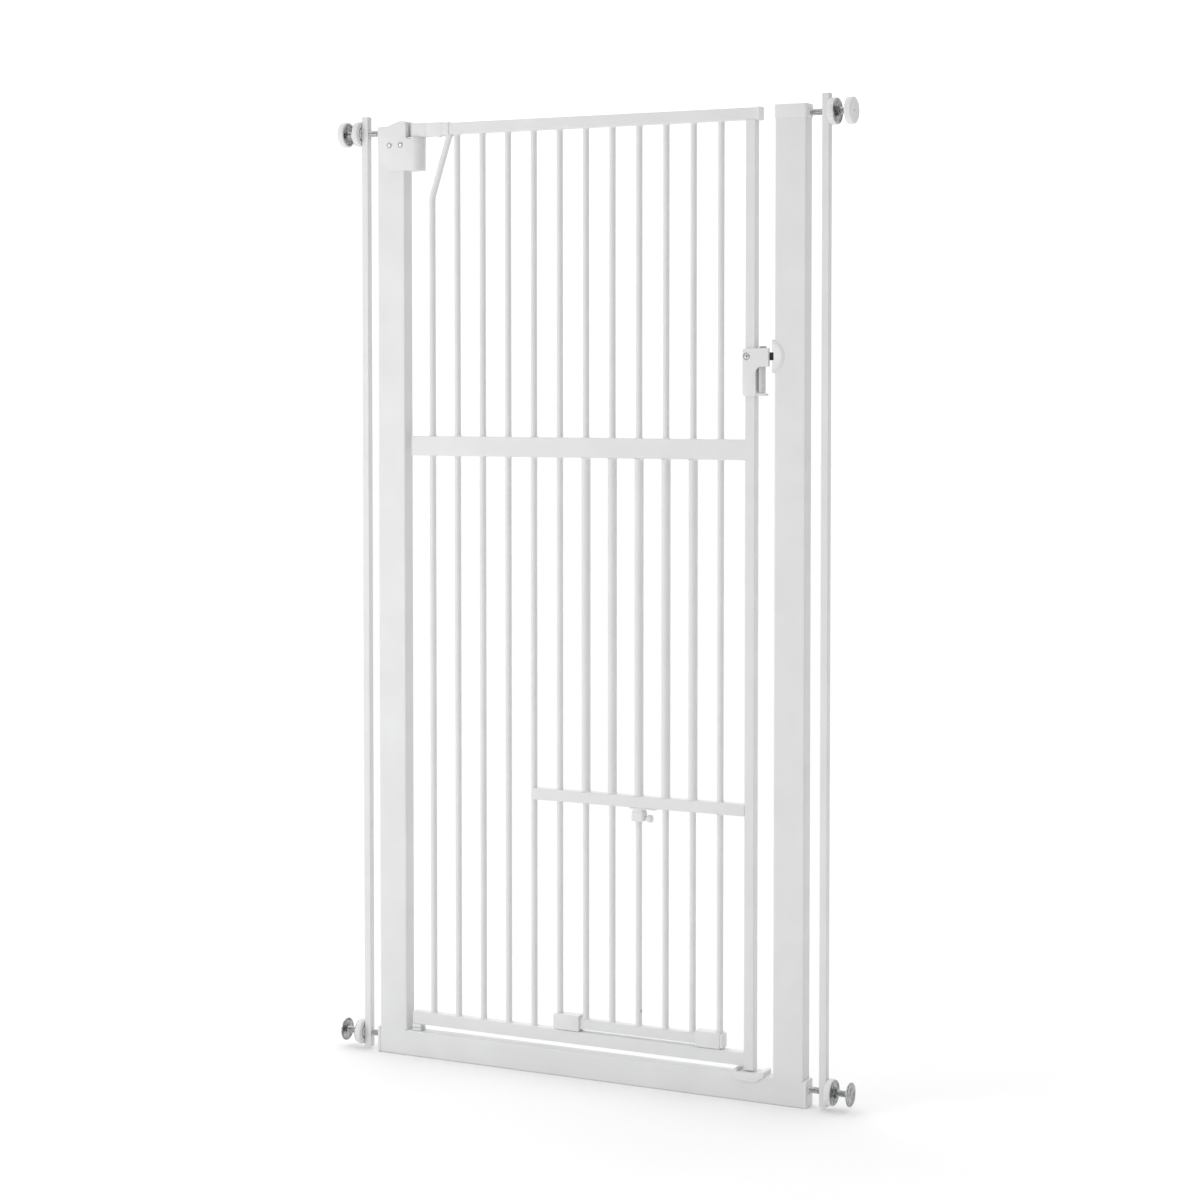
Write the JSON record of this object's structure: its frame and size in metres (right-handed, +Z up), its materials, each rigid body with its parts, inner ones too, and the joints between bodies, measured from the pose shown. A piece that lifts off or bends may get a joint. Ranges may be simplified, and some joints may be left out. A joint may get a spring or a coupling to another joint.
{
  "type": "pet gate",
  "caption": "Extra-tall pressure-mounted metal pet gate with a swinging barred door, a small lift-up pet door, a squeeze latch and wheel-tightened wall pads.",
  "frame": {"origin": "middle of the gate's footprint on the floor, in the mid-plane of its tubes", "axes": "+X along the gate from the hinge side to the latch side, +Y to the back, +Z up"},
  "size_m": [0.884, 0.04, 1.514],
  "materials": {
    "white_paint": "white powder coat, satin",
    "white_plastic": "white moulded plastic, satin",
    "zinc": "bright zinc plating",
    "screw_steel": "plated steel",
    "pad_rubber": "soft white rubber"
  },
  "bodies": {
    "frame": {"left_upright": "white_paint", "right_upright": "white_paint", "bottom_rail": "white_paint", "rail_end_caps": "white_plastic", "upright_top_cap": "white_plastic", "spindle_bushes": "white_plastic", "hinge_housing_front": "white_plastic", "hinge_housing_back": "white_plastic", "hinge_bush": "white_plastic", "housing_screws": "screw_steel", "lower_hinge_bracket": "screw_steel", "latch_strike": "white_plastic", "floor_catch": "white_plastic"},
    "side_bar_l": {"side_bar_left": "white_paint", "side_bar_plugs_left": "white_plastic"},
    "side_bar_r": {"side_bar_right": "white_paint", "side_bar_plugs_right": "white_plastic"},
    "screw_top_left": {"spindle_top_left": "zinc", "pad_disc_top_left": "zinc", "pad_cover_top_left": "pad_rubber"},
    "handwheel_top_left": {"wheel_top_left": "white_plastic", "wheel_nut_top_left": "zinc"},
    "screw_top_right": {"spindle_top_right": "zinc", "pad_disc_top_right": "zinc", "pad_cover_top_right": "pad_rubber"},
    "handwheel_top_right": {"wheel_top_right": "white_plastic", "wheel_nut_top_right": "zinc"},
    "screw_low_left": {"spindle_low_left": "zinc", "pad_disc_low_left": "zinc"},
    "handwheel_low_left": {"wheel_low_left": "white_plastic", "wheel_nut_low_left": "zinc"},
    "screw_low_right": {"spindle_low_right": "zinc", "pad_disc_low_right": "zinc"},
    "handwheel_low_right": {"wheel_low_right": "white_plastic", "wheel_nut_low_right": "zinc"},
    "door": {"top_rail": "white_paint", "mid_rail": "white_paint", "low_rail": "white_paint", "latch_stile": "white_paint", "end_plugs": "white_plastic", "top_rail_cap": "white_plastic", "hinge_plug": "white_plastic", "hinge_pin": "screw_steel", "bent_bar": "white_paint", "upper_bars": "white_paint", "lower_bars": "white_paint", "latch_side_bar": "white_paint", "guide_tubes": "white_paint", "pet_rail": "white_paint", "pet_lock_body": "white_plastic", "latch_shell_front": "white_plastic", "latch_shell_back": "white_plastic", "door_screws": "screw_steel"},
    "trigger": {"latch_trigger": "white_plastic", "latch_bolt": "zinc"},
    "button": {"latch_button": "white_plastic"},
    "pet_door": {"pet_bars": "white_paint", "pet_low_rail": "white_paint", "pet_sleeves": "white_plastic"},
    "lock_knob": {"pet_lock_knob": "white_plastic"}
  },
  "joints": [
    {"name": "door_swing", "type": "hinge", "parent": "frame", "child": "door", "pos_m": [-0.305, 0, 0.04], "axis": [0, 0, 1], "range_deg": [-90, 90], "stiffness_Nm_per_rad": 0.3},
    {"name": "trigger_squeeze", "type": "slide", "parent": "door", "child": "trigger", "axis": [-1, 0, 0], "range_m": [0, 0.003], "stiffness_N_per_m": 1500, "springref_m": -0.003},
    {"name": "button_press", "type": "slide", "parent": "door", "child": "button", "axis": [0, 0, -1], "range_m": [0, 0.0015], "stiffness_N_per_m": 1000, "springref_m": -0.002},
    {"name": "pet_door_lift", "type": "slide", "parent": "door", "child": "pet_door", "axis": [0, 0, 1], "range_m": [0, 0.3]},
    {"name": "lock_knob_push", "type": "slide", "parent": "door", "child": "lock_knob", "axis": [-1, 0, 0], "range_m": [0, 0.004]},
    {"name": "side_bar_l_slide", "type": "slide", "parent": "frame", "child": "side_bar_l", "axis": [1, 0, 0], "range_m": [0, 0.014]},
    {"name": "side_bar_r_slide", "type": "slide", "parent": "frame", "child": "side_bar_r", "axis": [-1, 0, 0], "range_m": [0, 0.014]},
    {"name": "handwheel_top_left_turn", "type": "hinge", "parent": "frame", "child": "handwheel_top_left", "pos_m": [-0.41, 0, 1.487], "axis": [-1, 0, 0], "range_deg": [0, 3600]},
    {"name": "screw_top_left_travel", "type": "slide", "parent": "frame", "child": "screw_top_left", "axis": [-1, 0, 0], "range_m": [0, 0.015]},
    {"name": "handwheel_top_right_turn", "type": "hinge", "parent": "frame", "child": "handwheel_top_right", "pos_m": [0.41, 0, 1.487], "axis": [1, 0, 0], "range_deg": [0, 3600]},
    {"name": "screw_top_right_travel", "type": "slide", "parent": "frame", "child": "screw_top_right", "axis": [1, 0, 0], "range_m": [0, 0.015]},
    {"name": "handwheel_low_left_turn", "type": "hinge", "parent": "frame", "child": "handwheel_low_left", "pos_m": [-0.41, 0, 0.027], "axis": [-1, 0, 0], "range_deg": [0, 3600]},
    {"name": "screw_low_left_travel", "type": "slide", "parent": "frame", "child": "screw_low_left", "axis": [-1, 0, 0], "range_m": [0, 0.015]},
    {"name": "handwheel_low_right_turn", "type": "hinge", "parent": "frame", "child": "handwheel_low_right", "pos_m": [0.41, 0, 0.027], "axis": [1, 0, 0], "range_deg": [0, 3600]},
    {"name": "screw_low_right_travel", "type": "slide", "parent": "frame", "child": "screw_low_right", "axis": [1, 0, 0], "range_m": [0, 0.015]}
  ],
  "couplings": [
    {"joint": "handwheel_top_left_turn", "follows": "screw_top_left_travel", "rad_per_m": 4188.8},
    {"joint": "handwheel_top_right_turn", "follows": "screw_top_right_travel", "rad_per_m": 4188.8},
    {"joint": "handwheel_low_left_turn", "follows": "screw_low_left_travel", "rad_per_m": 4188.8},
    {"joint": "handwheel_low_right_turn", "follows": "screw_low_right_travel", "rad_per_m": 4188.8}
  ]
}
